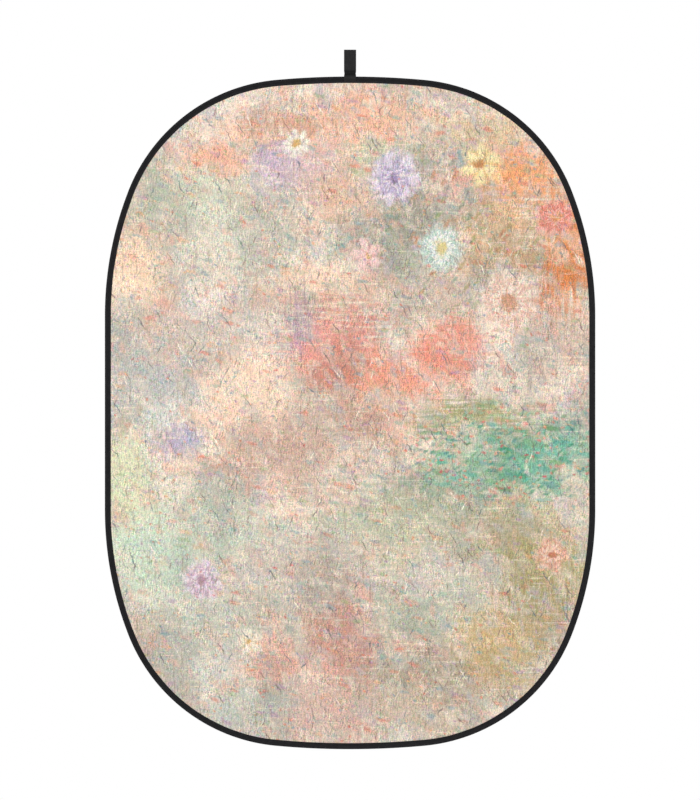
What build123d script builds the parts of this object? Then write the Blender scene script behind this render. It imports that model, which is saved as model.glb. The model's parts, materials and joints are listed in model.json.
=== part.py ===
from build123d import *
import os
from math import acos, asin, atan, atan2, cos, degrees, pi, radians, sin, tan

# A collapsible backdrop panel: a closed hoop of flat spring steel in a sewn binding, two cloths stretched
# across it, and a webbing hang loop at the top. Sizes are in millimetres. The panel hangs in the X-Z plane
# with +Z up, and its printed face looks along -Y. The origin is the centre of the hang loop's eye.

# Panel outline: straight sides run into side arcs, then corner arcs, then one flat arc over the top
panel_width = 1458.0
panel_height = 2000.0
side_straight = 578.0
side_radius = 1019.0
side_turn = 21.4
corner_radius = 521.4

# The panel folds in half as a chain of strips hinged across its width
strip_count = 12
binding_gap = 3.2
cloth_gap = 0.6

# Steel band, standing on edge just inside the binding
band_width = 10.0
band_thickness = 1.0
band_inset = 2.2

# Binding: one folded tape round the band, drawn in to a flat seam that grips the cloths
tape_thickness = 0.7
binding_depth = 13.8
binding_reach = 17.5
binding_shoulder = 4.8
binding_chamfer = 1.0
seam_width = 5.0

# Cloths
cloth_thickness = 0.4
cloth_spacing = 0.2
cloth_inset = 8.0

# Hang loop: a strip of webbing folded over, pinched by a bar tack and sewn down astride the binding
webbing_width = 36.0
webbing_thickness = 1.5
hook_radius = 5.0
loop_height = 80.0
pinch_height = 13.6
swing_height = 8.0
yoke_height = 5.2
yoke_hollow = 3.2

# Thread
stitch_width = 0.9
stitch_proud = 0.3
stitch_length = 3.0
stitch_pitch = 3.8
tack_pitch = 1.8
tack_length = 3.4

# Joint of the band's two ends, at the bottom of the panel
butt_gap = 0.6
ferrule_wall = 0.6
ferrule_length = 60.0
wrap_wall = 0.4
wrap_tail = 12.0
rivet_radius = 1.5
rivet_places = (-22.0, -9.0, 9.0, 22.0)

# Worked out from the sizes above
half_width = panel_width / 2
half_height = panel_height / 2
half_depth = binding_depth / 2
cloth_face = cloth_spacing / 2 + cloth_thickness
eye_height = loop_height - webbing_thickness - hook_radius
panel_centre = -eye_height - half_height


def rim_arcs():
    """(centre x, centre z, radius, start and end angle) of the arcs from the right side up over the top.

    Angles turn from +X towards +Z. The top arc's radius is the one that makes it tangent to the corner arc
    while it is centred on the panel's middle line and touches the panel's height.
    """
    corner_x = half_width - side_radius + (side_radius - corner_radius) * cos(radians(side_turn))
    corner_z = side_straight / 2 + (side_radius - corner_radius) * sin(radians(side_turn))
    drop = corner_z - half_height
    top_radius = (corner_radius**2 - corner_x**2 - drop**2) / (2 * (drop + corner_radius))
    top_z = half_height - top_radius
    top_start = degrees(atan2(corner_z - top_z, corner_x))
    return [
        (half_width - side_radius, side_straight / 2, side_radius, 0, side_turn),
        (corner_x, corner_z, corner_radius, side_turn, top_start),
        (0, top_z, top_radius, top_start, 180 - top_start),
    ]


def rim_plane(centre_x, centre_z, radius, angle):
    """Plane across the rim: its X points in towards the panel and its Y along the panel's thickness."""
    outward = Vector(cos(radians(angle)), 0, sin(radians(angle)))
    along = Vector(-sin(radians(angle)), 0, cos(radians(angle)))
    return Plane(origin=Vector(centre_x, 0, centre_z) + radius * outward, x_dir=-outward, z_dir=along)


def swept_arc(section, arc, start, end):
    """The section carried round one arc of the rim between two angles."""
    centre_x, centre_z, radius = arc[:3]
    placed = rim_plane(centre_x, centre_z, radius, start) * section
    return revolve(placed, Axis((centre_x, 0, centre_z), (0, -1, 0)), end - start)


def upper_rim(section):
    """The section carried over the upper half of the rim, as one solid."""
    side, corner, top = rim_arcs()
    upright = rim_plane(half_width, 0, 0, 0) * section
    right = [
        extrude(upright, side_straight / 2, dir=(0, 0, 1)),
        swept_arc(section, side, side[3], side[4]),
        swept_arc(section, corner, corner[3], corner[4]),
    ]
    left = [mirror(piece, about=Plane.YZ) for piece in right]
    return Part() + [*right, swept_arc(section, top, top[3], top[4]), *left]


def upper_sheet(inset, near, far):
    """A flat sheet over the panel's upper half, its edge inset from the rim, between two depths along Y."""
    side, corner, top = rim_arcs()
    edge_x = half_width - inset
    right = [
        Line((edge_x, 0), (edge_x, side_straight / 2)),
        CenterArc(side[:2], side[2] - inset, side[3], side[4] - side[3]),
        CenterArc(corner[:2], corner[2] - inset, corner[3], corner[4] - corner[3]),
    ]
    left = [mirror(edge, about=Plane.YZ) for edge in right]
    crown = CenterArc(top[:2], top[2] - inset, top[3], top[4] - top[3])
    face = make_face([*right, crown, *left, Line((-edge_x, 0), (edge_x, 0))])
    return extrude(Plane.XZ.offset(-near) * face, near - far)


def box_section(inset, thickness, width):
    """A rectangle that starts inset from the rim and is centred on the panel's middle plane."""
    return Pos(inset + thickness / 2, 0) * Rectangle(thickness, width)


def sleeve_outline(shrink):
    """Outline of the binding's section, with every wall moved in by shrink."""
    fall = atan((half_depth - cloth_face - tape_thickness) / (binding_reach - seam_width - binding_shoulder))
    chamfer_shift = shrink * tan(radians(22.5))
    slope_shift = shrink * tan(fall / 2)
    front = [
        (shrink, half_depth - binding_chamfer - chamfer_shift),
        (binding_chamfer + chamfer_shift, half_depth - shrink),
        (binding_shoulder - slope_shift, half_depth - shrink),
        (binding_reach - seam_width - slope_shift, cloth_face + tape_thickness - shrink),
        (binding_reach, cloth_face + tape_thickness - shrink),
    ]
    back = [(inward, -depth) for inward, depth in reversed(front)]
    return Polygon(*front, *back, align=None)


def fold_depths():
    """How far below the panel's top edge each fold lies, so that each takes an equal share of the bend."""
    folds = strip_count - 1
    return [panel_height / pi * acos(1 - (2 * number - 1) / folds) for number in range(1, strip_count)]


def strips(upper, gap):
    """Cuts a shape of the upper half into strips, top first, and mirrors them to make the lower half."""
    folds = fold_depths()[: strip_count // 2]
    tops = [half_height + binding_reach] + [half_height - depth - gap / 2 for depth in folds[:-1]]
    bottoms = [half_height - depth + gap / 2 for depth in folds]
    slabs = [
        Pos(0, 0, (top + bottom) / 2) * Box(2 * panel_width, 2 * binding_depth, top - bottom)
        for top, bottom in zip(tops, bottoms)
    ]
    above = [(upper & slab).solids() for slab in slabs]
    below = [[mirror(solid, about=Plane.XY) for solid in strip] for strip in reversed(above)]
    return above + below


def bottom_sweep(section, start, end):
    """The section carried along the bottom rim between two distances from the panel's middle line."""
    top = rim_arcs()[2]
    turn = [90 + degrees(distance / top[2]) for distance in (start, end)]
    return mirror(swept_arc(section, top, *turn), about=Plane.XY)


def rivet_pins(clear):
    """Pins through the band's joint, square to the rim, each short of the ferrule's faces by clear."""
    centre_x, centre_z, radius = rim_arcs()[2][:3]
    pin = Rot(0, 90, 0) * Cylinder(rivet_radius, band_thickness + 2 * ferrule_wall - 2 * clear)
    middle = Pos(band_inset + band_thickness / 2, 0)
    planes = [rim_plane(centre_x, centre_z, radius, 90 + degrees(place / radius)) for place in rivet_places]
    return [mirror(plane * middle * pin, about=Plane.XY) for plane in planes]


def steel_bands():
    """The spring band in strips, with its two ends butted at the bottom and drilled for the rivets."""
    bands = strips(upper_rim(box_section(band_inset, band_thickness, band_width)), binding_gap)
    butt = Pos(0, 0, -half_height) * Box(butt_gap, binding_depth, 2 * binding_reach)
    bands[-1] = (Part() + bands[-1] - butt - rivet_pins(-1)).solids()
    return bands


def bindings():
    """The folded binding tape in strips."""
    return strips(upper_rim(sleeve_outline(0) - sleeve_outline(tape_thickness)), binding_gap)


def cloths(side):
    """One cloth in strips: side is -1 for the printed front and 1 for the plain back."""
    near, far = sorted((side * cloth_spacing / 2, side * cloth_face), reverse=True)
    return strips(upper_sheet(cloth_inset, near, far), cloth_gap)


def ferrule_section():
    """A flat tube that fits over the band."""
    outside = box_section(
        band_inset - ferrule_wall, band_thickness + 2 * ferrule_wall, band_width + 2 * ferrule_wall
    )
    return outside - box_section(band_inset, band_thickness, band_width)


def band_ferrule():
    """The steel sleeve that holds the band's two ends."""
    sleeve = bottom_sweep(ferrule_section(), -ferrule_length / 2, ferrule_length / 2)
    return (sleeve - rivet_pins(-1)).solids()


def ferrule_rivets():
    """Rivets that pin the sleeve to the band, just short of flush."""
    return [pin.solid() for pin in rivet_pins(0.05)]


def ferrule_wrap():
    """A shrunk sleeve over the ferrule that steps down onto the band at both ends."""
    wall = ferrule_wall + wrap_wall
    over = box_section(band_inset - wall, band_thickness + 2 * wall, band_width + 2 * wall)
    under = box_section(
        band_inset - ferrule_wall, band_thickness + 2 * ferrule_wall, band_width + 2 * ferrule_wall
    )
    ferrule_end = ferrule_length / 2
    middle = bottom_sweep(over - under, -ferrule_end, ferrule_end)
    right = bottom_sweep(ferrule_section(), ferrule_end, ferrule_end + wrap_tail)
    lip = bottom_sweep(over - box_section(band_inset, band_thickness, band_width), ferrule_end, ferrule_end + 1)
    tail = right + lip
    return (middle + tail + mirror(tail, about=Plane.YZ)).solids()


def teardrop(radius, depth):
    """A circle about the eye's centre drawn down to a point at a depth below it."""
    lean = asin(radius / depth)
    side_y = radius * cos(lean)
    side_z = -radius * sin(lean)
    return Circle(radius) + Polygon((side_y, side_z), (-side_y, side_z), (0, -depth), align=None)


def hang_loop():
    """Webbing folded over the hook, its two legs drawn together into a pinch that ends in a round nose."""
    pinch = eye_height - pinch_height
    swing = eye_height - swing_height
    outer_radius = hook_radius + webbing_thickness
    legs = teardrop(outer_radius, pinch * outer_radius / hook_radius)
    legs &= Pos(0, outer_radius - 50) * Rectangle(4 * outer_radius, 100)
    below = Pos(0, -pinch - 50) * Rectangle(4 * outer_radius, 100)
    block = Pos(0, -(pinch + swing) / 2) * Rectangle(2 * webbing_thickness, swing - pinch)
    nose = Pos(0, -swing) * Circle(webbing_thickness)
    section = legs - below + block + nose - teardrop(hook_radius, pinch)
    return extrude(Plane.YZ * section, webbing_width / 2, both=True).solids()


def bar_tack():
    """Short upright stitches across both faces of the pinch."""
    count = int((webbing_width - 4) / tack_pitch)
    middle = -(eye_height - pinch_height) - stitch_proud - tack_length / 2
    stitch = Box(stitch_width, stitch_proud, tack_length)
    face = webbing_thickness + stitch_proud / 2
    return [
        Pos((number - (count - 1) / 2) * tack_pitch, side * face, middle) * stitch
        for number in range(count)
        for side in (-1, 1)
    ]


def loop_yoke():
    """The loop's legs below the swing line, splayed over the binding and sewn down on both its flanges."""
    roof_foot = half_depth - binding_chamfer + webbing_thickness / 2
    roof = Polygon(
        (-yoke_height, webbing_thickness),
        (-webbing_thickness, roof_foot),
        (-webbing_thickness, -roof_foot),
        (-yoke_height, -webbing_thickness),
        align=None,
    )
    hollow_foot = half_depth - binding_chamfer - webbing_thickness
    hollow = Polygon((-yoke_hollow, 0), (0, hollow_foot), (0, -hollow_foot), align=None)
    section = sleeve_outline(-webbing_thickness) + roof - hollow - sleeve_outline(0)
    top = rim_arcs()[2]
    reach = degrees(webbing_width / 2 / top[2])
    return swept_arc(section, top, 90 - reach, 90 + reach).solids()


def yoke_stitches():
    """A box of lockstitches on both legs of the yoke, through the binding's seam."""
    row_depths = (binding_reach - seam_width + 1.2, binding_reach - 1.0)
    count = int((webbing_width - 3) / stitch_pitch)
    face = cloth_face + tape_thickness + webbing_thickness + stitch_proud / 2
    stitch = Box(stitch_length, stitch_proud, stitch_width)
    return [
        Pos((number - (count - 1) / 2) * stitch_pitch, side * face, half_height - depth) * stitch
        for number in range(count)
        for depth in row_depths
        for side in (-1, 1)
    ]


def save(name, solids):
    """Writes one node, moved from the panel's own centre to its place under the hang loop's eye."""
    export_step(Compound([Pos(0, 0, panel_centre) * solid for solid in solids]), f"parts/{name}.step")


os.makedirs("parts", exist_ok=True)

chains = {
    "steel_band": steel_bands(),
    "binding": bindings(),
    "front_cloth": cloths(-1),
    "back_cloth": cloths(1),
}
for name, chain in chains.items():
    for number, solids in enumerate(chain, start=1):
        save(f"{name}_{number:02d}", solids)

save("band_ferrule", band_ferrule())
save("ferrule_rivets", ferrule_rivets())
save("ferrule_wrap", ferrule_wrap())
save("hang_loop_yoke", loop_yoke())
save("yoke_stitches", yoke_stitches())

export_step(Compound(hang_loop()), "parts/hang_loop.step")
export_step(Compound([stitch.solid() for stitch in bar_tack()]), "parts/bar_tack.step")
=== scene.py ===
import json
import math
from contextlib import contextmanager

import bmesh
import bpy
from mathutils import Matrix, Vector, noise


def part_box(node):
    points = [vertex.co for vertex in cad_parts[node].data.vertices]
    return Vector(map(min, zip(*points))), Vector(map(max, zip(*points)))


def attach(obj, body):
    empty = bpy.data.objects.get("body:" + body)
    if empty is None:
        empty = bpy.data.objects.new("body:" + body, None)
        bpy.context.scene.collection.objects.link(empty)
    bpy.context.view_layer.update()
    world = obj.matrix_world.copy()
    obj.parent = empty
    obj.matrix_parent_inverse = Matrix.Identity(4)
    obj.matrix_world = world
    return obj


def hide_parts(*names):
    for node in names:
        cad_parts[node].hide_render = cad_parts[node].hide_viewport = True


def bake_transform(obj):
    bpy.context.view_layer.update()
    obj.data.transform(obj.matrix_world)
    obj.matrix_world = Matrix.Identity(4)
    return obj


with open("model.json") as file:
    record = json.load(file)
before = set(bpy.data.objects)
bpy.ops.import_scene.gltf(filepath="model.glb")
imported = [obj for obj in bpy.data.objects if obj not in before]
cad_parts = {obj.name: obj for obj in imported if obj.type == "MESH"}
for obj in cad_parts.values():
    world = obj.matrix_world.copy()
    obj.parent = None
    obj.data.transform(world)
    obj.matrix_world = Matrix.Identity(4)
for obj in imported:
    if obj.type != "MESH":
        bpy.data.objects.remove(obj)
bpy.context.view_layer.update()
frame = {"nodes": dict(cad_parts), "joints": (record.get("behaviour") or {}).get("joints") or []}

# The looks of a collapsible backdrop panel. Metres, +Z up, the printed face looks along -Y. The soft pieces
# of the CAD panel and its steel band are replaced by new pieces, one set for each fold. A fold's pieces run
# from the middle of the strip above it to the middle of the strip below it, and overlap the next ones.

# Sizes that the frame gives
rim_boxes = [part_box(f"binding_{number:02d}") for number in range(1, 13)]
half_width = max(high[0] for low, high in rim_boxes)
rim_top = rim_boxes[0][1][2]
rim_bottom = rim_boxes[-1][0][2]
half_height = (rim_top - rim_bottom) / 2
centre_z = (rim_top + rim_bottom) / 2
fold_heights = sorted(
    (joint["pos_m"][2] for joint in frame["joints"] if joint["name"].startswith("fold_")), reverse=True
)
webbing_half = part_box("hang_loop")[1][0]
last_fold = len(fold_heights) - 1

# Outline of the rim: straight side, side arc, corner arc, top arc
side_straight = 0.578
side_radius = 1.019
side_turn = math.radians(21.4)
corner_radius = 0.5214

# Binding section, measured in from the rim's edge and out from the panel's middle plane
tape = 0.0007
binding_half_depth = 0.0069
binding_reach = 0.0175
shoulder = 0.0048
seam_start = 0.0125
seam_line = 0.0150
cloth_near = 0.0001
cloth_far = 0.0005
cloth_inset = 0.008

# How a span bends: the share of its blend after which it follows the other strip by a quarter, where
# t * t * (3 - 2 * t) is a quarter, and the length at each end of the panel that stays straight
quarter_turn = 0.3264
stiff_end = 0.03

# Where spans join: how far they overlap, how deep every other one is tucked in, and the length of that slope
span_overlap = 0.003
tuck_depth = 0.00005
tuck_slope = 0.0012

# Steel band
band_inset = 0.0022
band_thickness = 0.001
band_half_width = 0.005

# Hang loop
webbing = 0.0015
hook_radius = 0.005
pinch_above_rim = 0.0136
neck_above_rim = 0.009


# ---- outline

def rim_arcs():
    """(centre x, centre z above the panel's centre, radius, start and end angle) from the side to the top."""
    corner_x = half_width - side_radius + (side_radius - corner_radius) * math.cos(side_turn)
    corner_z = side_straight / 2 + (side_radius - corner_radius) * math.sin(side_turn)
    drop = corner_z - half_height
    top_radius = (corner_radius**2 - corner_x**2 - drop**2) / (2 * (drop + corner_radius))
    top_z = half_height - top_radius
    top_start = math.atan2(corner_z - top_z, corner_x)
    return [
        (half_width - side_radius, side_straight / 2, side_radius, 0, side_turn),
        (corner_x, corner_z, corner_radius, side_turn, top_start),
        (0, top_z, top_radius, top_start, math.pi / 2),
    ]


def rim_stations(step):
    """Points round the rim, anticlockwise from the right side's middle: (place, outward normal, length)."""
    quarter = [(Vector((half_width, 0, 0)), Vector((1, 0, 0)), 0.0)]
    straight_steps = max(1, round(side_straight / 2 / step))
    for count in range(1, straight_steps + 1):
        rise = side_straight / 2 * count / straight_steps
        quarter.append((Vector((half_width, 0, rise)), Vector((1, 0, 0)), rise))
    length = side_straight / 2
    for centre_x, arc_z, radius, start, end in rim_arcs():
        steps = max(1, round(radius * (end - start) / step))
        for count in range(1, steps + 1):
            angle = start + (end - start) * count / steps
            normal = Vector((math.cos(angle), 0, math.sin(angle)))
            place = Vector((centre_x, 0, arc_z)) + normal * radius
            quarter.append((place, normal, length + radius * (angle - start)))
        length += radius * (end - start)
    mirrored = [
        (Vector((-place.x, 0, place.z)), Vector((-normal.x, 0, normal.z)), 2 * length - far)
        for place, normal, far in reversed(quarter[:-1])
    ]
    upper = quarter + mirrored
    lower = [(-place, -normal, 2 * length + far) for place, normal, far in upper[1:-1]]
    return upper + lower, 4 * length


def rim_distance(x, height):
    """How far a point of the panel lies inside the rim."""
    x, height = abs(x), abs(height)
    side, corner, top = rim_arcs()
    if height <= side[1]:
        return half_width - x
    for centre_x, arc_z, radius, start, end in (side, corner):
        if math.atan2(height - arc_z, x - centre_x) <= end and x > centre_x:
            return radius - math.hypot(x - centre_x, height - arc_z)
    return top[2] - math.hypot(x - top[0], height - top[1])


def half_chord(height, inset):
    """Half the panel's width at a height from its centre, with the rim moved in by inset."""
    height = abs(height)
    side = rim_arcs()[0]
    if height <= side[1]:
        return half_width - inset
    for centre_x, arc_z, radius, start, end in rim_arcs():
        if height <= arc_z + (radius - inset) * math.sin(end) + 1e-9:
            return centre_x + math.sqrt(max(0.0, (radius - inset) ** 2 - (height - arc_z) ** 2))
    return 0.0


# ---- folds

def fold_spans():
    """For each fold: (upper body, lower body, top, bottom). A span ends in the middles of its two strips."""
    edges = [rim_top, *fold_heights, rim_bottom]
    middles = [(above + below) / 2 for above, below in zip(edges, edges[1:])]
    return [
        (f"panel_{number:02d}", f"panel_{number + 1:02d}", top, bottom)
        for number, (top, bottom) in enumerate(zip(middles, middles[1:]), 1)
    ]


def bend(piece, number):
    """Works out where a fold's turn starts and ends, then bakes the piece's placement into its mesh.

    The turn starts before the span and ends after it, so that in the middle of a strip the piece above and
    the piece below would both give the strip three quarters of the say. The start and end are not used
    further.
    """
    upper, lower, top, bottom = fold_spans()[number]
    reach = (top - bottom) / (1 - 2 * quarter_turn)
    start, end = top + quarter_turn * reach, bottom - quarter_turn * reach
    if number == 0:
        start = rim_top - stiff_end
        end = start - (start - bottom) / (1 - quarter_turn)
    if number == last_fold:
        end = rim_bottom + stiff_end
        start = (top - quarter_turn * end) / (1 - quarter_turn)
    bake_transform(piece)


def span_limits(number, overlap=0.0):
    """The span's own top and bottom, with the first and last carried on past the panel's ends."""
    top, bottom = fold_spans()[number][2:]
    beyond = 0.05
    return (
        rim_top + beyond if number == 0 else top + overlap,
        rim_bottom - beyond if number == last_fold else bottom - overlap,
    )


# ---- mesh helpers

@contextmanager
def editing(mesh):
    """Opens a mesh for bmesh work and writes it back."""
    work = bmesh.new()
    work.from_mesh(mesh)
    yield work
    work.to_mesh(mesh)
    work.free()


def slice_at(work, height, facing=1, **settings):
    """Cuts a mesh level. facing says which way the plane looks."""
    return bmesh.ops.bisect_plane(
        work, geom=[*work.verts, *work.edges, *work.faces], dist=1e-7,
        plane_co=(0, 0, height), plane_no=(0, 0, facing), **settings,
    )


def ring_faces(base, rings, size):
    """Quads between rings of points that lie one after the other from base on."""
    faces = []
    for ring in range(rings - 1):
        for corner in range(size):
            near = base + ring * size + corner
            next_near = base + ring * size + (corner + 1) % size
            faces.append((near, next_near, next_near + size, near + size))
    return faces


def add_object(name, data):
    made = bpy.data.objects.new(name, data)
    bpy.context.scene.collection.objects.link(made)
    return made


def new_piece(name, points, faces, material, rest):
    """A mesh object. rest gives each point's place in the material, in metres, before anything bends."""
    mesh = bpy.data.meshes.new(name)
    mesh.from_pydata([tuple(point) for point in points], [], faces)
    piece = add_object(name, mesh)
    layer = mesh.uv_layers.new(name="rest")
    for loop in mesh.loops:
        layer.data[loop.index].uv = rest[loop.vertex_index]
    mesh.materials.append(material)
    for face in mesh.polygons:
        face.use_smooth = True
    mesh.update()
    return piece


def sharpen(mesh, angle):
    """Marks the edges where the surface turns by more than an angle, so that they stay crisp."""
    with editing(mesh) as work:
        for edge in work.edges:
            if len(edge.link_faces) == 2 and edge.calc_face_angle(0) > angle:
                edge.smooth = False


def tuck_ends(piece, number):
    """Sinks both ends of every other span a hair below its neighbours, so that they never share a surface."""
    if number % 2 == 0:
        return
    top, bottom = span_limits(number, -span_overlap)
    with editing(piece.data) as work:
        for height in (top, top - tuck_slope, bottom, bottom + tuck_slope):
            slice_at(work, height)
        work.normal_update()
        for vert in work.verts:
            if not bottom + tuck_slope / 2 < vert.co.z < top - tuck_slope / 2:
                vert.co -= vert.normal * tuck_depth


def cut_to_span(piece, number):
    """Keeps what lies in a fold's span and closes the cut ends."""
    top, bottom = span_limits(number, span_overlap)
    with editing(piece.data) as work:
        for height, facing in ((top, 1), (bottom, -1)):
            cut = slice_at(work, height, facing, clear_outer=True)
            rims = [item for item in cut["geom_cut"] if isinstance(item, bmesh.types.BMEdge)]
            if rims:
                caps = bmesh.ops.triangle_fill(work, edges=rims, use_beauty=True)
                for edge in rims:
                    edge.smooth = False
                for item in caps["geom"]:
                    if isinstance(item, bmesh.types.BMFace):
                        item.smooth = False
        bmesh.ops.recalc_face_normals(work, faces=work.faces)


def smooth_path(corners, step):
    """A curve through given corners (Catmull-Rom), sampled about every step."""
    points = [Vector(corner) for corner in corners]
    points = [2 * points[0] - points[1], *points, 2 * points[-1] - points[-2]]
    path = []
    for before, start, end, after in zip(points, points[1:], points[2:], points[3:]):
        count = max(2, math.ceil((end - start).length / step))
        for number in range(count):
            t = number / count
            path.append(
                0.5 * (2 * start + (end - before) * t + (2 * before - 5 * start + 4 * end - after) * t * t
                       + (3 * start - before - 3 * end + after) * t**3)
            )
    return [*path, points[-2]]


def heading(path, number):
    """Which way a path runs at one of its points."""
    return (path[min(number + 1, len(path) - 1)] - path[max(number - 1, 0)]).normalized()


def ribbon(path, thickness):
    """Closed outline of a tape that follows a path in the plane, with rounded ends."""
    half = thickness / 2
    left, right = [], []
    for number, point in enumerate(path):
        ahead = heading(path, number)
        across = Vector((-ahead.y, ahead.x)) * half
        left.append(point + across)
        right.append(point - across)
    first = (path[0] - path[1]).normalized() * half * 0.7
    last = (path[-1] - path[-2]).normalized() * half * 0.7
    return [*left, path[-1] + last, *reversed(right), path[0] + first]


# ---- swept rim pieces

def runs_near(stations, around, top, bottom):
    """Unbroken runs of stations between two heights, a little past each end, with lengths that never wrap."""
    margin = 0.02
    inside = [bottom - margin <= centre_z + place.z <= top + margin for place, normal, far in stations]
    runs = []
    for first in range(len(stations)):
        if not inside[first] or inside[first - 1]:
            continue
        run = []
        number = first
        while inside[number % len(stations)]:
            place, normal, far = stations[number % len(stations)]
            run.append((place, normal, far + around * (number // len(stations))))
            number += 1
        runs.append(run)
    return runs


def swept_piece(name, number, profile, material, step, shape=lambda place, inward, out: (inward, out)):
    """A closed profile carried along the rim within one fold's span. shape may move the profile's points."""
    stations, around = rim_stations(step)
    profile_length = [0.0]
    for before, after in zip(profile, profile[1:]):
        profile_length.append(profile_length[-1] + (after - before).length)
    points, faces, rest = [], [], []
    for run in runs_near(stations, around, *span_limits(number, span_overlap)):
        base = len(points)
        for place, normal, far in run:
            for point, along in zip(profile, profile_length):
                inward, out = shape(place, point.x, point.y)
                points.append(Vector((0, out, centre_z)) + place - normal * inward)
                rest.append((far, along))
        faces += ring_faces(base, len(run), len(profile))
    piece = new_piece(name, points, faces, material, rest)
    cut_to_span(piece, number)
    tuck_ends(piece, number)
    return piece


def binding_profile():
    """Section of the folded tape: seam, slope, shoulder and outer wall, front half then back half."""
    seam = cloth_far + tape / 2
    side = binding_half_depth - tape / 2
    front = [
        (binding_reach - tape / 2, seam),
        (seam_line, seam),
        (seam_start, seam + 0.0001),
        (seam_start - 0.0030, seam + 0.0019),
        (shoulder + 0.0018, side - 0.0009),
        (shoulder - 0.0010, side),
        (0.0021, side),
        (0.0008, side - 0.0006),
        (tape / 2, side - 0.0020),
    ]
    back = [(inward, -out) for inward, out in reversed(front)]
    return ribbon(smooth_path([*front, (tape / 2 - 0.0001, 0), *back], 0.0011), tape)


def drift(place, size, seed):
    """Smooth noise whose bumps are about size metres across."""
    return noise.noise(place / size + Vector((0, seed, 0)))


def puckered(place, inward, out):
    """Unevenness of sewn tape: ripples beside the seam, a wandering inner edge and slack sides."""
    side = 1 if out > 0 else -1
    near_seam = max(0.0, 1 - abs(inward - seam_line - 0.001) / 0.006)
    ripple = 0.00022 * near_seam * drift(place, 0.011, side * 7.3)
    on_outer_wall = abs(out) < 0.0062 and inward < 0.003
    slack = 0.0 if on_outer_wall else 0.00035 * drift(place, 0.06, side * 3.1)
    wider_at_top = 0.0011 * max(0.0, place.z) ** 4
    wander = 0.0004 + wider_at_top + 0.0005 * drift(place, 0.05, side * 5.7)
    share = min(1.0, max(0.0, (inward - 0.010) / 0.006))
    groove = 0.0
    if abs(out) > cloth_far + tape * 0.6:
        groove = 0.0002 * math.exp(-(((inward - seam_line) / 0.0007) ** 2))
    return inward + wander * share, out + side * (ripple + slack * (1 - near_seam) - groove)


def rounded_box(inset, thickness, half_side):
    """Outline of a flat bar's section with rolled edges."""
    corners = []
    roll = thickness * 0.3
    for turn in range(4):
        sign_in = 1 if turn in (0, 3) else -1
        sign_out = 1 if turn in (0, 1) else -1
        for count in range(4):
            angle = math.pi / 2 * (turn + count / 3)
            corners.append(Vector((
                inset + thickness / 2 + sign_in * (thickness / 2 - roll) + roll * math.cos(angle),
                sign_out * (half_side - roll) + roll * math.sin(angle),
            )))
    return corners


# ---- cloth

def row_heights(top, bottom, spacing):
    """Evenly spaced heights with a close pair at each end, so that pieces join unseen."""
    close = 0.0008
    count = max(2, round((top - bottom - 2 * close) / spacing))
    inner = [top - close - (top - bottom - 2 * close) * number / count for number in range(count + 1)]
    return [top, *inner, bottom]


def clear_of_tape(inside, reach):
    """0 under the binding, rising to 1 at reach from its edge."""
    return min(1.0, max(0.0, (inside - binding_reach) / reach))


def cloth_lift(x, height):
    """How far both cloths lie off the middle plane: a slow billow, and ripples that fade in from the rim."""
    inside = rim_distance(x, height)
    clear = clear_of_tape(inside, 0.035)
    clear = clear * clear * (3 - 2 * clear)
    billow = 0.0016 * noise.noise(Vector((x * 1.7, height * 1.7, 3.0)))
    round_rim = math.atan2(height, x * 1.25) / 0.055
    ripple = 0.0011 * noise.noise(Vector((round_rim, inside * 4, 11.0))) * math.exp(-inside / 0.09)
    return clear * (billow + ripple)


def cloth_bulge(x, height, side):
    """How far one cloth stands off the other, which is never less than nothing."""
    clear = clear_of_tape(rim_distance(x, height), 0.05)
    return 0.0009 * clear * (0.5 + 0.5 * noise.noise(Vector((x * 3.1, height * 3.1, 20.0 * side))))


def cloth_piece(name, number, side, material):
    """One cloth within a fold's span: side -1 is the printed front, 1 the plain back."""
    top, bottom = span_limits(number, span_overlap)
    edge = half_height - cloth_inset - 0.0003
    top = min(top - centre_z, edge)
    bottom = max(bottom - centre_z, -edge)
    heights = row_heights(top, bottom, 0.009)
    columns = 150
    shares = [2 * column / columns - 1 for column in range(columns + 1)]
    ring = [(share, cloth_far) for share in shares] + [(share, cloth_near) for share in reversed(shares)]
    points, rest = [], []
    for height in heights:
        reach = half_chord(height, cloth_inset)
        for share, layer in ring:
            x = reach * share
            out = layer + cloth_bulge(x, height, side)
            points.append((x, side * out + cloth_lift(x, height), centre_z + height))
            rest.append((x, height))
    size = len(ring)
    faces = ring_faces(0, len(heights), size)
    for column in range(columns):
        cap = (column, column + 1, size - 2 - column, size - 1 - column)
        faces.append(cap[::-1])
        faces.append(tuple(len(points) - size + corner for corner in cap))
    if side < 0:
        faces = [face[::-1] for face in faces]
    piece = new_piece(name, points, faces, material, rest)
    tuck_ends(piece, number)
    sharpen(piece.data, math.radians(40))
    return piece


# ---- thread

def stitched_piece(name, stitches, material):
    """Raised stitches: low rounded bars whose ends dip into the cloth.

    A stitch is (middle, the way it runs, the way out, (length, width, height)).
    """
    points, faces, rest = [], [], []
    rings, sides = 5, 6
    for middle, along, out, (length, width, height) in stitches:
        along = along.normalized()
        across = along.cross(out).normalized()
        base = len(points)
        for ring in range(rings):
            t = 2 * ring / (rings - 1) - 1
            swell = math.sqrt(max(0.0, 1 - abs(t) ** 3)) * 0.85 + 0.15
            for corner in range(sides):
                angle = math.tau * corner / sides
                points.append(
                    middle + along * (t * length / 2)
                    + across * (math.cos(angle) * width / 2 * swell)
                    + out * (math.sin(angle) * height * swell - (1 - swell) * height)
                )
                rest.append((t * length / 2, angle * width / 2))
        faces += ring_faces(base, rings, sides)
        faces.append(tuple(base + corner for corner in reversed(range(sides))))
        faces.append(tuple(base + (rings - 1) * sides + corner for corner in range(sides)))
    return new_piece(name, points, faces, material, rest)


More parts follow.
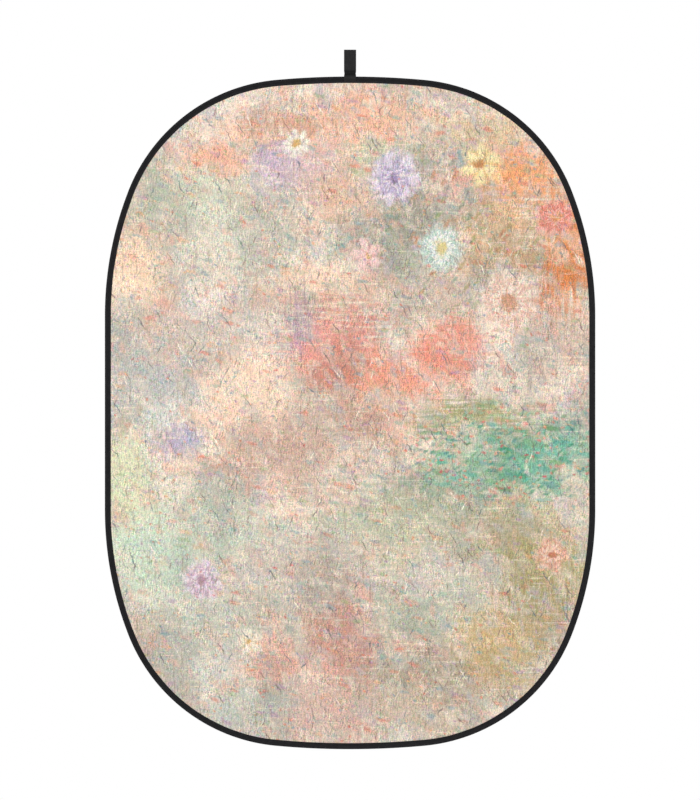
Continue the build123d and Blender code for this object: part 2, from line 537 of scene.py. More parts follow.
def seam_stitches(name, number, material):
    """The binding's lockstitch on both faces within one fold's span."""
    pitch = 0.0036
    top, bottom = span_limits(number)
    out_to = cloth_far + tape + 0.00005
    stitches = []
    for place, normal, far in rim_stations(pitch)[0]:
        middle = Vector((0, 0, centre_z)) + place - normal * seam_line
        if not bottom <= middle.z < top or abs(place.x) < webbing_half and place.z > 0:
            continue
        for side in (-1, 1):
            out = Vector((0, side, 0))
            along = Vector((normal.z, 0, -normal.x)) + normal * 0.06 * side
            stitches.append((middle + out * out_to, along, out, (0.0027, 0.00062, 0.00034)))
    return stitched_piece(name, stitches, material)


# ---- hang loop

def loop_path():
    """The webbing's middle line, as (y, z): from the front leg's end over the hook to the back leg's end."""
    rim = rim_top
    leg = cloth_far + tape + webbing / 2
    over = binding_half_depth + webbing / 2
    eye = hook_radius + webbing / 2
    front = [
        (-leg, rim - binding_reach),
        (-leg, rim - 0.0138),
        (-leg - 0.0021, rim - 0.0104),
        (-over + 0.0006, rim - 0.0060),
        (-over, rim - 0.0035),
        (-over + 0.0004, rim - 0.0008),
        (-over + 0.0028, rim + 0.0014),
        (-0.0022, rim + 0.0037),
        (-webbing / 2 - 0.0001, rim + 0.0065),
        (-webbing / 2, rim + 0.0100),
        (-webbing / 2 - 0.0001, rim + pinch_above_rim),
        (-0.0020, rim + 0.0270),
        (-0.0036, rim + 0.0450),
        (-0.0050, -0.0100),
        (-eye, -0.0005),
    ]
    crown = [(-eye * math.cos(angle), eye * math.sin(angle)) for angle in (0.5, 1.0, math.pi / 2)]
    half = [*front, *crown]
    back = [(-y, z) for y, z in reversed(half[:-1])]
    return smooth_path([*half, *back], 0.0013)


def webbing_section(half_span, thickness):
    """Outline of the webbing's cross-section, with soft selvedges: (across, through) pairs."""
    columns = 24
    upper = []
    for column in range(columns + 1):
        t = 2 * column / columns - 1
        upper.append((t * half_span, thickness / 2 * (1 - 0.55 * abs(t) ** 14)))
    lower = [(across, -through) for across, through in reversed(upper)]
    return [*upper, *lower]


def hang_loop(material):
    """The whole strip of webbing, as one mesh."""
    path = loop_path()
    points, rest = [], []
    travelled = -sum((after - before).length for before, after in zip(path, path[1:])) / 2
    for number, point in enumerate(path):
        ahead = heading(path, number)
        out = Vector((0, -ahead.y, ahead.x))
        if number:
            travelled += (point - path[number - 1]).length
        above_rim = point.y - rim_top
        neck = math.exp(-(((above_rim - neck_above_rim) / 0.0045) ** 2))
        for across, through in webbing_section(webbing_half, webbing * (1 - 0.12 * neck)):
            spread = across * (1 - 0.055 * neck)
            wobble = 0.00012 * noise.noise(Vector((across * 90, travelled * 60, 2.0)))
            wobble += 0.00016 * neck * math.sin(across * math.tau / 0.0052)
            points.append(Vector((spread, point.x, point.y)) + out * (through + wobble))
            rest.append((across, travelled))
    size = len(points) // len(path)
    faces = ring_faces(0, len(path), size)
    faces.append(tuple(range(size)))
    faces.append(tuple(reversed(range((len(path) - 1) * size, len(path) * size))))
    piece = new_piece("hang_loop_webbing", points, faces, material, rest)
    with editing(piece.data) as work:
        bmesh.ops.recalc_face_normals(work, faces=work.faces)
    sharpen(piece.data, math.radians(50))
    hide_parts("hang_loop", "hang_loop_yoke")
    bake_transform(piece)


def sew_on(name, stitches, material, node, body):
    """A piece of thread that stands for a node and moves with a body."""
    piece = stitched_piece(name, stitches, material)
    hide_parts(node)
    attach(piece, body)


def in_row(count, pitch):
    """Places side by side about the middle."""
    return [(number - (count - 1) / 2) * pitch for number in range(count)]


def bar_tack(material):
    """A dense zigzag across both faces of the pinch."""
    height = rim_top + pinch_above_rim - 0.0021
    out_to = webbing * 0.97 + 0.00012
    stitches = []
    for side in (-1, 1):
        for number, x in enumerate(in_row(39, 0.00078)):
            lean = 0.22 if number % 2 else -0.22
            stitches.append((
                Vector((x, side * out_to, height)), Vector((lean, 0, 1)), Vector((0, side, 0)),
                (0.0034, 0.0007, 0.00036),
            ))
    sew_on("bar_tack_thread", stitches, material, "bar_tack", "hang_loop")


def yoke_stitches(material):
    """A box of lockstitches on each leg, through the binding's seam."""
    out_to = cloth_far + tape + webbing + 0.00002
    rows = (rim_top - binding_reach + 0.0011, rim_top - 0.0141)
    box_half = 0.0163
    stitches = []
    for side in (-1, 1):
        out = Vector((0, side, 0))
        for height in rows:
            for x in in_row(10, 0.0033):
                middle = Vector((x, side * out_to, height))
                stitches.append((middle, Vector((1, 0, 0.04)), out, (0.0026, 0.0006, 0.00034)))
        for x in (-box_half, box_half):
            middle = Vector((x, side * out_to, sum(rows) / 2))
            stitches.append((middle, Vector((0, 0, 1)), out, (0.0022, 0.0006, 0.00034)))
    sew_on("yoke_stitch_thread", stitches, material, "yoke_stitches", "panel_01")


# ---- materials

def paint(red, green, blue):
    """A colour as seen on screen, 0 to 255, turned into the linear values that shaders take."""
    shares = [value / 255 for value in (red, green, blue)]
    linear = [share / 12.92 if share <= 0.04045 else ((share + 0.055) / 1.055) ** 2.4 for share in shares]
    return (*linear, 1.0)


class Graph:
    """Builds one material's nodes. Each method adds a node and gives back its output."""

    def __init__(self, name, coordinates="rest"):
        self.material = bpy.data.materials.new(name)
        self.material.use_nodes = True
        self.tree = self.material.node_tree
        self.shader = self.tree.nodes["Principled BSDF"]
        if coordinates == "rest":
            self.place = self.node("ShaderNodeUVMap", uv_map="rest")
        else:
            self.place = self.node("ShaderNodeTexCoord", output="Object")

    def feed(self, socket, value):
        if isinstance(value, bpy.types.NodeSocket):
            self.tree.links.new(value, socket)
        elif value is not None:
            socket.default_value = value

    def node(self, kind, *values, output=0, **settings):
        made = self.tree.nodes.new(kind)
        for key, value in settings.items():
            setattr(made, key, value)
        for number, value in enumerate(values):
            self.feed(made.inputs[number], value)
        return made.outputs[output]

    def math(self, operation, *values):
        return self.node("ShaderNodeMath", *values, operation=operation)

    def times(self, first, second):
        return self.math("MULTIPLY", first, second)

    def scaled(self, value, scale, added):
        return self.math("MULTIPLY_ADD", value, scale, added)

    def vector(self, operation, *values):
        output = "Value" if operation == "LENGTH" else "Vector"
        return self.node("ShaderNodeVectorMath", *values, operation=operation, output=output)

    def mix(self, share, first, second):
        not_colour = [None] * 5
        return self.node("ShaderNodeMix", share, *not_colour, first, second, data_type="RGBA", output=2)

    def smooth(self, value, low, high, to_low=0.0, to_high=1.0):
        """value from low..high to to_low..to_high, eased and clamped."""
        return self.node(
            "ShaderNodeMapRange", value, low, high, to_low, to_high, interpolation_type="SMOOTHSTEP"
        )

    def glaze(self, colour, shade, field, low, high, strength=1.0):
        """Lays a shade over a colour, more of it as a field goes from low to high."""
        return self.mix(self.smooth(field, low, high, 0.0, strength), colour, paint(*shade))

    def noise(self, place, scale, detail=2.0, roughness=0.5, output=0):
        return self.node(
            "ShaderNodeTexNoise", place, None, scale, detail, roughness, noise_dimensions="2D", output=output
        )

    def stretched(self, place, across, along, turn=0.0, shift=(0.0, 0.0)):
        """Coordinates turned, then scaled, so that one unit is across metres wide and along metres long."""
        turned = place
        if turn:
            turned = self.node("ShaderNodeVectorRotate", place, None, None, turn, rotation_type="Z_AXIS")
        return self.vector("MULTIPLY_ADD", turned, (1 / across, 1 / along, 0), (*shift, 0))

    def ramp(self, value, *stops, interpolation="LINEAR"):
        """A field turned into colour. A stop is (value, shade)."""
        made = self.tree.nodes.new("ShaderNodeValToRGB")
        made.color_ramp.interpolation = interpolation
        elements = made.color_ramp.elements
        while len(elements) < len(stops):
            elements.new(0.5)
        for element, (position, shade) in zip(elements, stops):
            element.position = position
            element.color = paint(*shade)
        self.feed(made.inputs[0], value)
        return made.outputs[0]

    def centred(self, place, x, height, half_wide, half_high):
        """Coordinates about an ellipse's middle, and their length, which is 1 at its edge."""
        shift = (-x / half_wide, -height / half_high, 0)
        local = self.vector("MULTIPLY_ADD", place, (1 / half_wide, 1 / half_high, 0), shift)
        return local, self.vector("LENGTH", local)

    def split(self, value):
        made = self.tree.nodes.new("ShaderNodeSeparateXYZ")
        self.feed(made.inputs[0], value)
        return made.outputs[0], made.outputs[1], made.outputs[2]

    def bump(self, height, distance, strength):
        made = self.tree.nodes.new("ShaderNodeBump")
        made.inputs["Strength"].default_value = strength
        made.inputs["Distance"].default_value = distance
        self.feed(made.inputs["Height"], height)
        return made.outputs[0]

    def finish(self, colour, roughness, normal=None, **fixed):
        """Feeds the shader. fixed are values that are the same all over the surface."""
        self.feed(self.shader.inputs["Base Color"], colour)
        self.feed(self.shader.inputs["Roughness"], roughness)
        self.feed(self.shader.inputs["Normal"], normal)
        for name, value in fixed.items():
            self.shader.inputs[name.replace("_", " ")].default_value = value
        return self.material


def weave(graph, place, pitch):
    """Height of a plain weave, 0 to 1, from two sets of threads."""
    across, along = graph.split(graph.vector("SCALE", place, None, None, math.tau / pitch))[:2]
    warp = graph.times(graph.math("SINE", across), graph.math("SINE", along))
    return graph.scaled(warp, 0.5, 0.5)


# The print's washes: x, height above the panel's centre, half width, half height, strength, colour
washes = [
    (-0.48, 0.64, 0.22, 0.15, 0.75, (196, 200, 178)),
    (-0.26, 0.86, 0.20, 0.08, 0.75, (240, 192, 164)),
    (0.02, 0.88, 0.24, 0.09, 0.80, (228, 174, 146)),
    (-0.17, 0.72, 0.11, 0.10, 0.75, (196, 170, 192)),
    (-0.38, 0.74, 0.11, 0.07, 0.65, (230, 160, 130)),
    (-0.62, 0.42, 0.12, 0.16, 0.75, (234, 202, 172)),
    (-0.55, 0.28, 0.07, 0.09, 0.55, (232, 184, 164)),
    (-0.34, 0.48, 0.24, 0.14, 0.70, (204, 202, 186)),
    (-0.40, 0.26, 0.24, 0.15, 0.75, (224, 212, 200)),
    (0.04, 0.66, 0.20, 0.12, 0.70, (206, 172, 148)),
    (0.15, 0.52, 0.15, 0.16, 0.80, (168, 166, 150)),
    (0.10, 0.77, 0.12, 0.05, 0.65, (170, 180, 150)),
    (0.38, 0.84, 0.20, 0.07, 0.75, (208, 182, 142)),
    (0.52, 0.70, 0.16, 0.11, 0.85, (230, 156, 106)),
    (0.65, 0.46, 0.09, 0.20, 0.90, (234, 142, 82)),
    (0.44, 0.52, 0.16, 0.13, 0.60, (198, 162, 116)),
    (0.28, 0.34, 0.18, 0.13, 0.70, (184, 166, 150)),
    (0.62, 0.20, 0.12, 0.11, 0.65, (184, 164, 150)),
    (-0.10, 0.36, 0.22, 0.11, 0.65, (234, 198, 172)),
    (-0.06, 0.20, 0.15, 0.13, 0.85, (216, 146, 134)),
    (0.12, 0.12, 0.22, 0.10, 0.85, (226, 152, 128)),
    (0.28, 0.18, 0.14, 0.08, 0.75, (220, 138, 118)),
    (-0.16, 0.26, 0.06, 0.10, 0.70, (172, 140, 162)),
    (-0.30, 0.06, 0.18, 0.13, 0.70, (240, 206, 180)),
    (-0.60, 0.06, 0.16, 0.15, 0.80, (206, 206, 200)),
    (-0.49, -0.08, 0.07, 0.05, 0.60, (158, 150, 184)),
    (-0.65, -0.20, 0.10, 0.18, 0.70, (208, 214, 176)),
    (-0.58, -0.44, 0.18, 0.17, 0.80, (192, 210, 188)),
    (-0.38, -0.34, 0.18, 0.12, 0.65, (188, 200, 182)),
    (-0.16, -0.10, 0.20, 0.14, 0.75, (220, 184, 166)),
    (0.08, -0.02, 0.14, 0.09, 0.65, (214, 168, 144)),
    (0.36, 0.00, 0.18, 0.06, 0.75, (162, 162, 106)),
    (0.48, -0.14, 0.23, 0.10, 0.90, (122, 176, 148)),
    (0.62, -0.10, 0.10, 0.08, 0.75, (112, 174, 154)),
    (0.28, -0.22, 0.18, 0.09, 0.75, (146, 180, 156)),
    (0.10, -0.32, 0.20, 0.13, 0.75, (184, 186, 158)),
    (0.48, -0.34, 0.20, 0.12, 0.75, (190, 180, 142)),
    (-0.10, -0.48, 0.24, 0.13, 0.70, (190, 178, 166)),
    (-0.42, -0.60, 0.20, 0.11, 0.75, (204, 206, 190)),
    (0.22, -0.58, 0.16, 0.09, 0.65, (178, 188, 166)),
    (-0.24, -0.74, 0.16, 0.11, 0.75, (228, 174, 156)),
    (-0.02, -0.68, 0.10, 0.18, 0.70, (220, 158, 140)),
    (-0.06, -0.90, 0.22, 0.09, 0.80, (200, 168, 156)),
    (-0.46, -0.76, 0.16, 0.10, 0.75, (200, 200, 188)),
    (0.22, -0.84, 0.20, 0.12, 0.80, (188, 172, 150)),
    (0.46, -0.68, 0.18, 0.14, 0.80, (192, 166, 116)),
    (0.58, -0.48, 0.14, 0.12, 0.75, (182, 170, 112)),
    (-0.30, -0.90, 0.14, 0.06, 0.65, (176, 186, 176)),
]

# The print's blossoms: x, height, radius, petals, gap between petals, rings of petals, heart's size,
# then the colours of the petals' tips, their folds and the heart
blossoms = [
    (0.47, 0.33, 0.110, 10, 0.10, 1.5, 0.22, (244, 224, 206), (222, 176, 158), (206, 150, 120)),
    (0.13, 0.70, 0.098, 7, 0.12, 2.0, 0.16, (226, 214, 226), (170, 156, 192), (150, 132, 176)),
    (0.39, 0.74, 0.078, 6, 0.30, 0.0, 0.20, (246, 226, 172), (226, 186, 112), (196, 138, 84)),
    (0.27, 0.49, 0.084, 12, 0.16, 1.2, 0.20, (234, 236, 226), (168, 198, 190), (220, 204, 140)),
    (0.61, 0.58, 0.070, 8, 0.12, 1.6, 0.22, (240, 178, 164), (214, 112, 96), (226, 158, 104)),
    (0.05, 0.47, 0.060, 5, 0.34, 0.0, 0.16, (240, 204, 196), (222, 160, 152), (224, 184, 122)),
    (-0.16, 0.80, 0.052, 9, 0.26, 0.0, 0.22, (240, 234, 218), (204, 192, 172), (214, 170, 96)),
    (0.60, -0.42, 0.064, 6, 0.16, 1.4, 0.20, (242, 206, 184), (214, 148, 124), (198, 122, 96)),
    (-0.44, -0.50, 0.072, 8, 0.14, 1.6, 0.20, (232, 216, 224), (196, 162, 182), (178, 140, 160)),
    (-0.30, -0.68, 0.048, 5, 0.34, 0.0, 0.16, (244, 232, 210), (216, 196, 158), (222, 178, 104)),
]


def add_blossom(graph, place, colour, ragged, blossom):
    """Paints one loosely brushed flower over a colour."""
    x, height, radius, petals, gap, rings, heart, tip, fold, middle = blossom
    local, reach = graph.centred(place, x, height, radius, radius)
    across, up = graph.split(local)[:2]
    reach = graph.scaled(ragged, 0.6, graph.math("ADD", reach, -0.30))
    twist = 0.8 if rings else 0.12
    turn = graph.scaled(reach, twist, graph.math("ARCTAN2", up, across))
    wave = graph.math("ABSOLUTE", graph.math("SINE", graph.times(turn, petals / 2)))
    outline = graph.scaled(wave, -gap, graph.math("ADD", reach, gap))
    cover = graph.smooth(outline, 1.02, 0.62, 0.0, 0.90)
    groove = graph.smooth(wave, 0.70, 0.0, 0.0, 0.70)
    if rings:
        ring = graph.math("FRACT", graph.scaled(wave, 0.45, graph.times(reach, rings)))
        groove = graph.math("MAXIMUM", groove, graph.smooth(ring, 0.55, 0.0, 0.0, 0.90))
    petal = graph.mix(groove, paint(*tip), paint(*fold))
    flower = graph.mix(graph.smooth(reach, heart * 1.6, heart * 0.5), petal, paint(*middle))
    return graph.mix(cover, colour, flower)


# Stronger colours that small dabs pick from
lively = [(128, 176, 164), (222, 118, 94), (158, 178, 128), (184, 146, 180), (234, 172, 124), (112, 158, 170)]


def add_dabs(graph, place, colour, size, turn, share, strength, palette, region=None, shift=(0.0, 0.0)):
    """Scatters short brush dabs over a colour. share is how many of the cells hold one."""
    cells = graph.tree.nodes.new("ShaderNodeTexVoronoi")
    cells.voronoi_dimensions = "2D"
    cells.inputs["Scale"].default_value = 1.0
    graph.feed(cells.inputs["Vector"], graph.stretched(place, size[0], size[1], turn, shift))
    chance, pick, weight = graph.split(cells.outputs["Color"])
    cover = graph.smooth(cells.outputs["Distance"], 0.52, 0.16, 0.0, strength)
    cover = graph.times(cover, graph.math("LESS_THAN", chance, share))
    cover = graph.times(cover, graph.scaled(weight, 0.6, 0.4))
    if region is not None:
        cover = graph.times(cover, region)
    stops = [(number / len(palette), shade) for number, shade in enumerate(palette)]
    return graph.mix(cover, colour, graph.ramp(pick, *stops, interpolation="CONSTANT"))


def region_of(graph, place, x, height, half_wide, half_high):
    """1 inside an ellipse of the print, fading to 0 outside it."""
    return graph.smooth(graph.centred(place, x, height, half_wide, half_high)[1], 1.15, 0.55)


def washed(graph, place, blotch, streaks, upright, level):
    """The print's ground: patches of pale colour, the washes over them, then light and dark areas."""
    colour = graph.ramp(
        graph.noise(place, 3.2, 4, 0.6),
        (0.30, (198, 192, 184)), (0.42, (216, 202, 188)), (0.52, (234, 214, 194)),
        (0.62, (226, 190, 170)), (0.74, (198, 200, 184)),
    )
    patches = [
        (9.0, (3.0, 1.0, 0), 0.50, 0.62, 0.70, (184, 192, 178)),
        (11.0, (1.0, 6.0, 0), 0.52, 0.64, 0.65, (230, 170, 154)),
        (20.0, (8.0, 3.0, 0), 0.58, 0.67, 0.65, (144, 180, 180)),
        (7.0, (5.0, 9.0, 0), 0.54, 0.66, 0.55, (190, 176, 188)),
        (13.0, (2.0, 4.0, 0), 0.53, 0.64, 0.75, (244, 226, 204)),
    ]
    for scale, shift, low, high, strength, shade in patches:
        patch = graph.noise(graph.vector("ADD", place, shift), scale, 4, 0.66)
        colour = graph.glaze(colour, shade, patch, low, high, strength)
    colour = graph.glaze(colour, (192, 188, 170), graph.split(place)[1], 0.0, -0.45, 0.35)
    for number, (x, height, half_wide, half_high, strength, shade) in enumerate(washes):
        reach = graph.centred(place, x, height, half_wide, half_high)[1]
        field = (blotch, streaks, upright, level)[number % 4]
        edge = graph.scaled(field, 1.7, graph.math("ADD", reach, -0.85))
        colour = graph.glaze(colour, shade, edge, 1.30, 0.36, 1.12 * strength)
    shadow = graph.noise(graph.vector("ADD", place, (4.0, 7.0, 0)), 3.4, 3, 0.55)
    return graph.vector("SCALE", colour, None, None, graph.smooth(shadow, 0.38, 0.62, 0.8372, 1.15115))


def dabbed(graph, place, brushed, colour):
    """Brush dabs over the whole print and in its green and leafy parts."""
    greens = region_of(graph, place, 0.46, -0.12, 0.32, 0.18)
    leaves = region_of(graph, place, 0.34, 0.54, 0.36, 0.34)
    soft = [
        (238, 216, 194), (196, 196, 182), (230, 174, 156), (186, 184, 186), (242, 226, 206), (206, 186, 160),
    ]
    sea = [(70, 154, 124), (108, 186, 164), (62, 138, 134), (132, 178, 134), (164, 198, 168), (92, 148, 98)]
    pinks = [(218, 90, 100), (230, 134, 116), (200, 80, 92), (232, 166, 144)]
    foliage = [(136, 158, 98), (112, 146, 124), (166, 146, 90), (190, 124, 78)]
    dabs = [
        ((0.120, 0.050), 0.9, 0.60, 0.40, soft, None, (3.0, 7.0)),
        ((0.060, 0.026), 0.5, 0.60, 0.48, soft, None, (0.0, 0.0)),
        ((0.022, 0.055), -0.25, 0.50, 0.52, soft, None, (5.0, 3.0)),
        ((0.046, 0.017), 0.2, 0.20, 0.55, lively, None, (9.0, 1.0)),
        ((0.085, 0.022), 0.15, 0.75, 0.85, sea, greens, (2.0, 6.0)),
        ((0.032, 0.013), -0.5, 0.50, 0.85, sea, greens, (4.0, 2.0)),
        ((0.018, 0.012), 0.0, 0.18, 0.85, pinks, greens, (1.0, 9.0)),
        ((0.018, 0.044), 0.7, 0.36, 0.65, foliage, leaves, (8.0, 8.0)),
    ]
    for dab in dabs:
        colour = add_dabs(graph, brushed, colour, *dab)
    return colour


def worn(graph, place, brushed, colour, blotch, upright, level):
    """Dry-brushed streaks, then cracks and scratches."""
    colour = graph.glaze(colour, (246, 230, 206), level, 0.60, 0.74, 0.45)
    colour = graph.glaze(colour, (160, 140, 126), upright, 0.40, 0.27, 0.45)
    broken = graph.smooth(blotch, 0.54, 0.68, 0.0, 0.60)
    crack = graph.noise(graph.stretched(place, 0.10, 0.07, 0.3), 1, 4, 0.7)
    scratch = graph.noise(graph.stretched(place, 0.22, 0.035, -0.1, (4.0, 4.0)), 1, 3, 0.6)
    lines = [
        (crack, -0.506, 0.0075, (98, 92, 94)),
        (crack, -0.492, 0.0075, (250, 240, 222)),
        (scratch, -0.5, 0.008, (252, 240, 218)),
    ]
    for field, offset, width, shade in lines:
        line = graph.smooth(graph.math("ABSOLUTE", graph.math("ADD", field, offset)), width, 0.0)
        colour = graph.mix(graph.times(line, broken), colour, paint(*shade))
    ticks = [(104, 98, 100), (92, 116, 122), (252, 242, 222), (132, 104, 100)]
    colour = add_dabs(graph, brushed, colour, (0.060, 0.0050), 1.05, 0.045, 0.80, ticks, shift=(2.0, 2.0))
    return add_dabs(graph, brushed, colour, (0.040, 0.0045), -1.25, 0.04, 0.80, ticks, shift=(7.0, 5.0))


def printed_cloth_material():
    """Polyester printed with a worn, loosely painted pastel floral canvas."""
    graph = Graph("printed_cloth")
    flat = graph.place
    broad = graph.noise(flat, 4.5, 2, output=1)
    fine = graph.noise(flat, 26, 3, 0.6, output=1)
    nudge = graph.vector("MULTIPLY_ADD", fine, (0.022, 0.022, 0), (-0.011, -0.011, 0))
    brushed = graph.vector("ADD", flat, nudge)
    shove = graph.vector("MULTIPLY_ADD", broad, (0.16, 0.16, 0), (-0.105, -0.105, 0))
    place = graph.vector("ADD", flat, graph.vector("MULTIPLY_ADD", fine, (0.05, 0.05, 0), shove))
    upright = graph.noise(graph.stretched(flat, 0.011, 0.10), 1, 3, 0.6)
    level = graph.noise(graph.stretched(flat, 0.12, 0.009, shift=(3.0, 8.0)), 1, 3, 0.6)
    blotch = graph.noise(graph.vector("ADD", flat, (7.0, 2.0, 0)), 16, 4, 0.62)
    streaks = graph.scaled(upright, 0.5, graph.times(level, 0.5))

    colour = washed(graph, place, blotch, streaks, upright, level)
    colour = dabbed(graph, place, brushed, colour)
    ragged = graph.noise(flat, 24, 3, 0.7)
    for blossom in blossoms:
        colour = add_blossom(graph, brushed, colour, ragged, blossom)
    colour = add_dabs(graph, brushed, colour, (0.015, 0.009), 0.4, 0.12, 0.70, lively, shift=(6.0, 4.0))

    colour = worn(graph, place, brushed, colour, blotch, upright, level)

    # Grain of paint on coarse canvas: light and dark flecks with a little colour of their own
    fleck = graph.noise(flat, 260, 2, 0.75, output=1)
    light = graph.split(fleck)[0]
    hatch = graph.noise(graph.stretched(flat, 0.0035, 0.018, 0.12), 1, 2, 0.6)
    coarse = graph.noise(flat, 95, 2, 0.6, output=1)
    value = graph.scaled(hatch, 1.2, graph.times(light, 1.4))
    grain = graph.vector("MULTIPLY_ADD", fleck, (0.5, 0.5, 0.5), value)
    grain = graph.vector("ADD", grain, (-1.80, -1.80, -1.80))
    grain = graph.vector("MULTIPLY_ADD", coarse, (0.5, 0.5, 0.5), grain)
    rough = graph.smooth(blotch, 0.35, 0.65, 1.15, 0.65)
    colour = graph.vector("MULTIPLY", colour, graph.vector("MULTIPLY_ADD", grain, rough, (1.0, 1.0, 1.0)))
    threads = weave(graph, flat, 0.0011)
    colour = graph.glaze(colour, (140, 128, 118), threads, 0.45, 0.0, 0.26)
    height = graph.scaled(graph.noise(flat, 420, 1), 0.5, threads)
    return graph.finish(
        colour, graph.smooth(light, 0.3, 0.7, 0.94, 0.80), graph.bump(height, 0.00020, 0.45),
        Specular_IOR_Level=0.18,
    )


def plain_cloth_material():
    """Undyed polyester seen from behind."""
    graph = Graph("plain_cloth")
    slub = graph.noise(graph.stretched(graph.place, 0.05, 0.0012), 1, 2, 0.6)
    slub_up = graph.noise(graph.stretched(graph.place, 0.0012, 0.06, shift=(3.0, 5.0)), 1, 2, 0.6)
    threads = weave(graph, graph.place, 0.0011)
    colour = graph.ramp(
        graph.noise(graph.place, 3.2, 3, 0.6),
        (0.32, (222, 216, 208)), (0.50, (228, 221, 211)), (0.70, (226, 214, 203)),
    )
    colour = graph.glaze(colour, (238, 234, 226), slub, 0.50, 0.72, 0.30)
    colour = graph.glaze(colour, (200, 192, 182), slub_up, 0.50, 0.30, 0.28)
    colour = graph.glaze(colour, (178, 170, 160), threads, 0.42, 0.0, 0.22)
    height = graph.scaled(slub, 0.6, threads)
    return graph.finish(colour, graph.smooth(slub, 0.3, 0.7, 0.92, 0.82), graph.bump(height, 0.00014, 0.4))


def ribbed_material(name, dark, light, pitch, rib_height, neck_shade_span=None):
    """Woven tape: ribs across it, a twill slant between them, rubbed lighter in places.

    The last argument says where, to both sides of its middle, shade is painted into the tape: a darker band
    that stands for the shadow of the pinched neck.
    """
    graph = Graph(name)
    across, along = graph.split(graph.place)[:2]
    waves = math.tau / pitch
    ribs = graph.math("SINE", graph.times(across, waves))
    slant = graph.math("SINE", graph.scaled(along, waves * 1.7, graph.times(across, waves * 0.5)))
    threads = graph.scaled(graph.times(ribs, slant), 0.5, 0.5)
    rubbed = graph.noise(graph.place, 60, 3, 0.65)
    fluff = graph.noise(graph.place, 900, 2, 0.7)
    colour = graph.glaze(paint(*dark), light, threads, 0.2, 0.95)
    colour = graph.glaze(colour, light, rubbed, 0.56, 0.78, 0.35)
    colour = graph.glaze(colour, light, fluff, 0.60, 0.80, 0.40)
    # Painted shade: the tape is darkened at its pinched neck above the binding, where shadow falls
    if neck_shade_span:
        start, end = neck_shade_span
        far = graph.math("ABSOLUTE", along)
        painted_neck_shade = graph.times(graph.smooth(far, start, start + 0.004), graph.smooth(far, end, end - 0.003))
        colour = graph.mix(graph.times(painted_neck_shade, 0.95), colour, paint(3, 3, 4))
    height = graph.scaled(fluff, 0.35, threads)
    return graph.finish(
        colour, graph.smooth(rubbed, 0.3, 0.7, 0.76, 0.60), graph.bump(height, rib_height, 0.6),
        Specular_IOR_Level=0.22, Sheen_Weight=0.04, Sheen_Roughness=0.45,
    )


def thread_material(name, dark, light):
    """Twisted black polyester thread."""
    graph = Graph(name)
    across, along = graph.split(graph.place)[:2]
    ply = graph.math("SINE", graph.scaled(along, 7000, graph.times(across, 5200)))
    twist = graph.scaled(ply, 0.5, 0.5)
    colour = graph.mix(twist, paint(*dark), paint(*light))
    return graph.finish(
        colour, graph.smooth(twist, 0.0, 1.0, 0.60, 0.45), graph.bump(twist, 0.00006, 0.7),
        Sheen_Weight=0.05, Specular_IOR_Level=0.25,
    )


def steel_material(name, coordinates, pale, tint, roughness):
    """Rolled steel: fine lines along it, a tempered tint that drifts, a few rub marks."""
    graph = Graph(name, coordinates)
    lines = graph.noise(graph.stretched(graph.place, 0.03, 0.0004), 1, 3, 0.65)
    drift = graph.noise(graph.place, 24, 3, 0.6)
    marks = graph.noise(graph.place, 160, 3, 0.7)
    colour = graph.glaze(paint(*pale), tint, drift, 0.35, 0.65)
    colour = graph.glaze(colour, (150, 148, 146), marks, 0.60, 0.75, 0.45)
    height = graph.scaled(marks, 0.5, lines)
    return graph.finish(
        colour, graph.smooth(lines, 0.3, 0.7, roughness - 0.08, roughness + 0.10),
        graph.bump(height, 0.00003, 0.5), Metallic=1.0,
    )


def shrink_material():
    """Black heat-shrunk plastic, slightly rippled."""
    graph = Graph("shrink_wrap", "object")
    ripple = graph.noise(graph.stretched(graph.place, 0.006, 0.02), 1, 3, 0.55)
    scuff = graph.noise(graph.place, 220, 3, 0.7)
    colour = graph.glaze(paint(26, 26, 28), (62, 62, 64), scuff, 0.58, 0.75, 0.5)
    height = graph.scaled(scuff, 0.2, ripple)
    return graph.finish(
        colour, graph.smooth(scuff, 0.4, 0.7, 0.36, 0.55), graph.bump(height, 0.0002, 0.5),
    )


printed = printed_cloth_material()
plain = plain_cloth_material()
bound = ribbed_material("binding_tape", (5, 5, 7), (32, 32, 36), 0.0012, 0.00030)
# The webbing gets a painted shadow at its pinched neck, between the two lengths given last
strap = ribbed_material("loop_webbing", (8, 8, 9), (47, 47, 48), 0.0018, 0.00045, (0.0625, 0.0816))
cotton = thread_material("thread", (14, 14, 16), (46, 46, 50))
# The tack thread is darker than the seam thread: black thread, with the shade of the pinched neck painted
# into it
tack_thread = thread_material("tack_thread", (4, 4, 5), (16, 16, 18))
spring = steel_material("spring_steel", "rest", (92, 98, 112), (64, 70, 92), 0.34)
ferrule = steel_material("ferrule_steel", "object", (176, 176, 174), (156, 158, 160), 0.30)
rivet = steel_material("rivet_steel", "object", (190, 190, 188), (164, 164, 166), 0.26)
shrink = shrink_material()


# ---- the object

tape_profile = binding_profile()
band_profile = rounded_box(band_inset, band_thickness, band_half_width)
for number in range(last_fold + 1):
    stands_for = [number + 1, number + 2] if number == last_fold else [number + 1]
    tag = f"{number + 1:02d}"
    edge = swept_piece(f"bound_edge_{tag}", number, tape_profile, bound, 0.0024, puckered)
    band = swept_piece(f"spring_band_{tag}", number, band_profile, spring, 0.006)
    made = [
        (cloth_piece(f"printed_cloth_{tag}", number, -1, printed), "front_cloth", "printed_cloth"),
        (cloth_piece(f"plain_cloth_{tag}", number, 1, plain), "back_cloth", "plain_cloth"),
        (edge, "binding", "binding_tape"),
        (band, "steel_band", "spring_steel"),
        (seam_stitches(f"edge_stitches_{tag}", number, cotton), None, "thread"),
    ]
    for piece, node, slot in made:
        if node:
            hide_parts(*[f"{node}_{strip:02d}" for strip in stands_for])
        bend(piece, number)

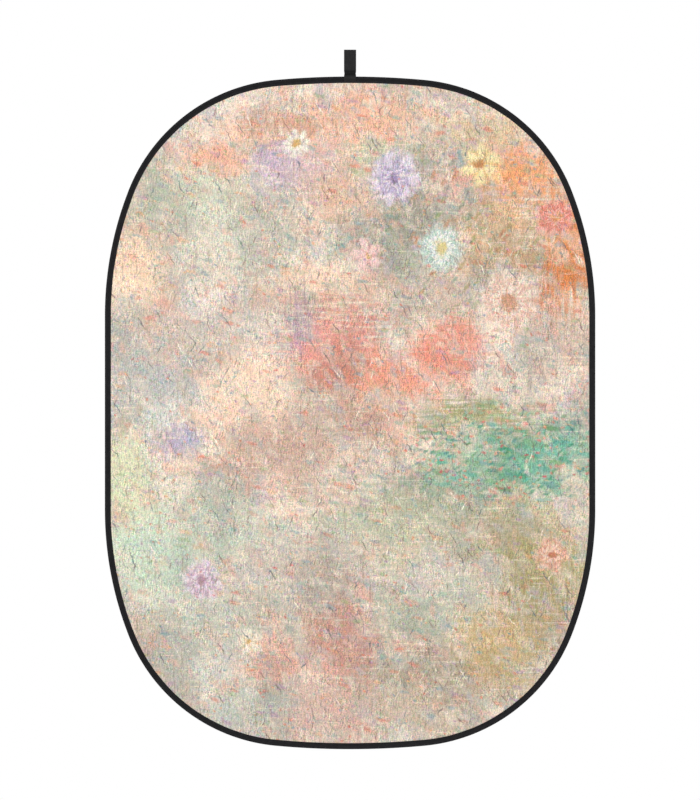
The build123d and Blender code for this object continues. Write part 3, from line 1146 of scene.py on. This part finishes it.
hang_loop(strap)
bar_tack(tack_thread)
yoke_stitches(cotton)
for node, material in (("band_ferrule", ferrule), ("ferrule_rivets", rivet), ("ferrule_wrap", shrink)):
    shown = frame["nodes"][node]
    shown.data.materials.clear()
    shown.data.materials.append(material)


# ---- studio

def studio_floor():
    """A pale floor below the hanging panel that melts into the white surroundings."""
    mesh = bpy.data.meshes.new("floor")
    with editing(mesh) as work:
        bmesh.ops.create_circle(work, cap_ends=True, segments=96, radius=9)
    floor = add_object("floor", mesh)
    floor.location = (0, 0, rim_bottom - 0.9)
    graph = Graph("floor", "object")
    mottle = graph.noise(graph.place, 3, 3)
    surface = graph.finish(graph.ramp(mottle, (0.3, (229, 229, 228)), (0.7, (232, 232, 231))), 0.8)
    clear = graph.node("ShaderNodeBsdfTransparent")
    away = graph.smooth(graph.vector("LENGTH", graph.place), 2.5, 7.5)
    blend = graph.node("ShaderNodeMixShader", away, graph.shader.outputs[0], clear)
    graph.tree.links.new(blend, graph.tree.nodes["Material Output"].inputs[0])
    mesh.materials.append(surface)


def soft_light(name, place, size, power):
    """A large soft lamp that looks at the panel's middle and isn't seen itself."""
    lamp = bpy.data.lights.new(name, "AREA")
    lamp.shape = "RECTANGLE"
    lamp.size, lamp.size_y = size
    lamp.energy = power
    light = add_object(name, lamp)
    light.location = place
    light.rotation_euler = (Vector((0, 0, centre_z)) - Vector(place)).to_track_quat("-Z", "Y").to_euler()
    light.visible_camera = False


def white_world(lighting):
    """Pure white where the camera looks past the object, softer where it lights it."""
    world = bpy.data.worlds.new("studio")
    world.use_nodes = True
    bpy.context.scene.world = world
    nodes, links = world.node_tree.nodes, world.node_tree.links
    strength = nodes.new("ShaderNodeMapRange")
    strength.inputs["To Min"].default_value = lighting
    links.new(nodes.new("ShaderNodeLightPath").outputs["Is Camera Ray"], strength.inputs["Value"])
    links.new(strength.outputs[0], nodes["Background"].inputs["Strength"])
    nodes["Background"].inputs["Color"].default_value = (1, 1, 1, 1)


studio_floor()
white_world(0.48)
soft_light("key", (-3.2, -5.0, 1.6), (3.2, 3.2), 200)
soft_light("fill", (3.6, -5.0, -0.6), (3.0, 3.6), 94)
soft_light("rear", (1.5, 5.0, 1.2), (3.0, 3.0), 125)

# The whole panel straight on, from well back
lens = 200.0
sensor = 36.0
frame_height = 2.379
camera_data = bpy.data.cameras.new("camera")
camera_data.lens = lens
camera_data.sensor_width = sensor
camera_data.clip_end = 200
camera = add_object("camera", camera_data)
camera.location = (-0.0002, -frame_height * lens / sensor, -1.0353)
camera.rotation_euler = (math.pi / 2, 0, 0)
bpy.context.scene.camera = camera
bpy.context.scene.view_settings.view_transform = "Standard"
